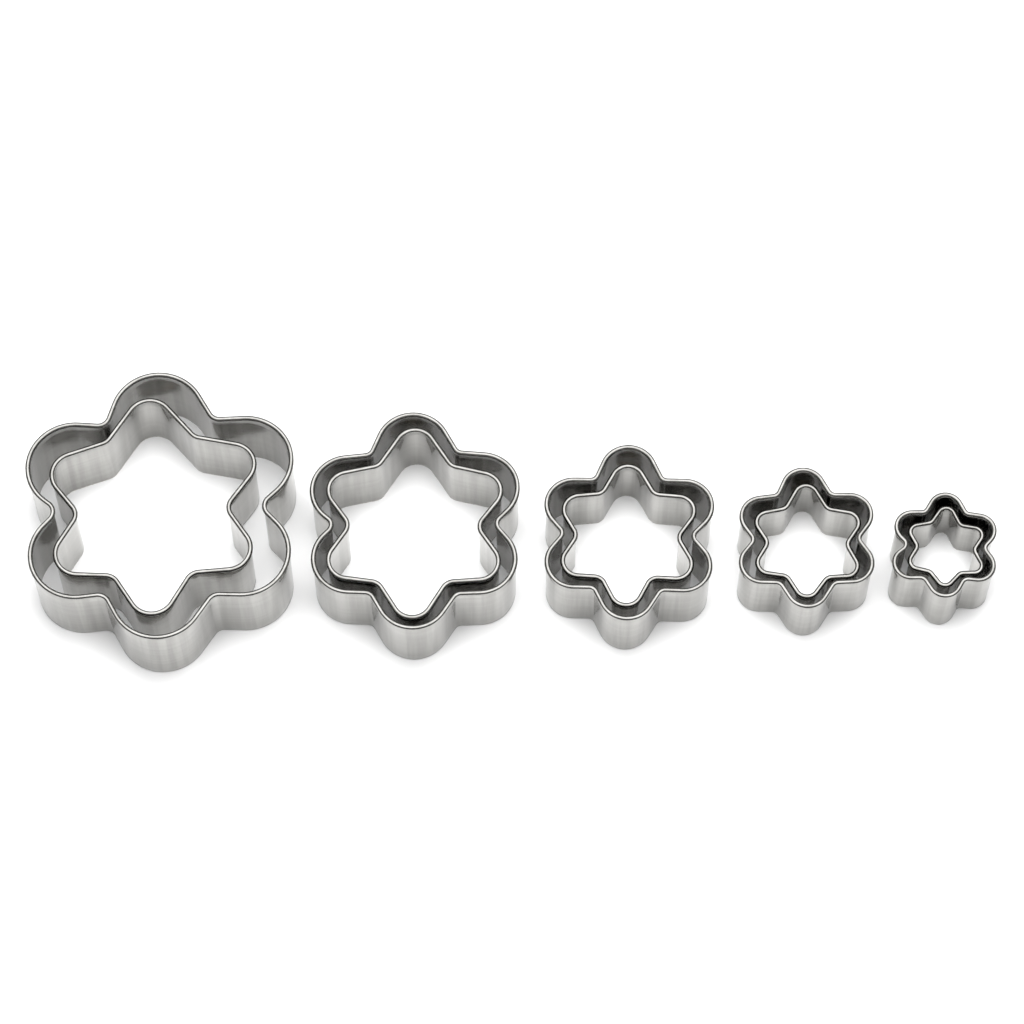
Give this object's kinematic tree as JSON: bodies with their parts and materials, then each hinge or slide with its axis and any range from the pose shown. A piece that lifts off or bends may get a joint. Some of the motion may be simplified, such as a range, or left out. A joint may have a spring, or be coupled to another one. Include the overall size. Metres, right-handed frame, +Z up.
{
  "type": "cookie cutter set",
  "caption": "Nested flower and star cookie cutters in a graduated row, each a bent steel strip with a rolled rim, a cutting edge and a welded lap.",
  "frame": {"origin": "on the table, under the middle of the row's bounding box", "axes": "+X along the row from the largest cutters to the smallest, +Y to the back, +Z up"},
  "size_m": [0.25, 0.0745, 0.0252],
  "materials": {
    "stainless_steel": "bright rolled stainless strip, satin on the walls, polished on the rolled rim"
  },
  "bodies": {
    "flower_1": {"flower_cutter_1": "stainless_steel"},
    "flower_2": {"flower_cutter_2": "stainless_steel"},
    "flower_3": {"flower_cutter_3": "stainless_steel"},
    "flower_4": {"flower_cutter_4": "stainless_steel"},
    "flower_5": {"flower_cutter_5": "stainless_steel"},
    "star_1": {"star_cutter_1": "stainless_steel"},
    "star_2": {"star_cutter_2": "stainless_steel"},
    "star_3": {"star_cutter_3": "stainless_steel"},
    "star_4": {"star_cutter_4": "stainless_steel"},
    "star_5": {"star_cutter_5": "stainless_steel"}
  },
  "joints": [
    {"name": "star_1_lift", "type": "slide", "parent": "flower_1", "child": "star_1", "axis": [0, 0, 1], "range_m": [0, 0.04]},
    {"name": "flower_2_lift", "type": "slide", "parent": "flower_1", "child": "flower_2", "axis": [0, 0, 1], "range_m": [0, 0.04]},
    {"name": "star_2_lift", "type": "slide", "parent": "flower_2", "child": "star_2", "axis": [0, 0, 1], "range_m": [0, 0.04]},
    {"name": "flower_3_lift", "type": "slide", "parent": "flower_1", "child": "flower_3", "axis": [0, 0, 1], "range_m": [0, 0.04]},
    {"name": "star_3_lift", "type": "slide", "parent": "flower_3", "child": "star_3", "axis": [0, 0, 1], "range_m": [0, 0.04]},
    {"name": "flower_4_lift", "type": "slide", "parent": "flower_1", "child": "flower_4", "axis": [0, 0, 1], "range_m": [0, 0.04]},
    {"name": "star_4_lift", "type": "slide", "parent": "flower_4", "child": "star_4", "axis": [0, 0, 1], "range_m": [0, 0.04]},
    {"name": "flower_5_lift", "type": "slide", "parent": "flower_1", "child": "flower_5", "axis": [0, 0, 1], "range_m": [0, 0.04]},
    {"name": "star_5_lift", "type": "slide", "parent": "flower_5", "child": "star_5", "axis": [0, 0, 1], "range_m": [0, 0.04]}
  ]
}
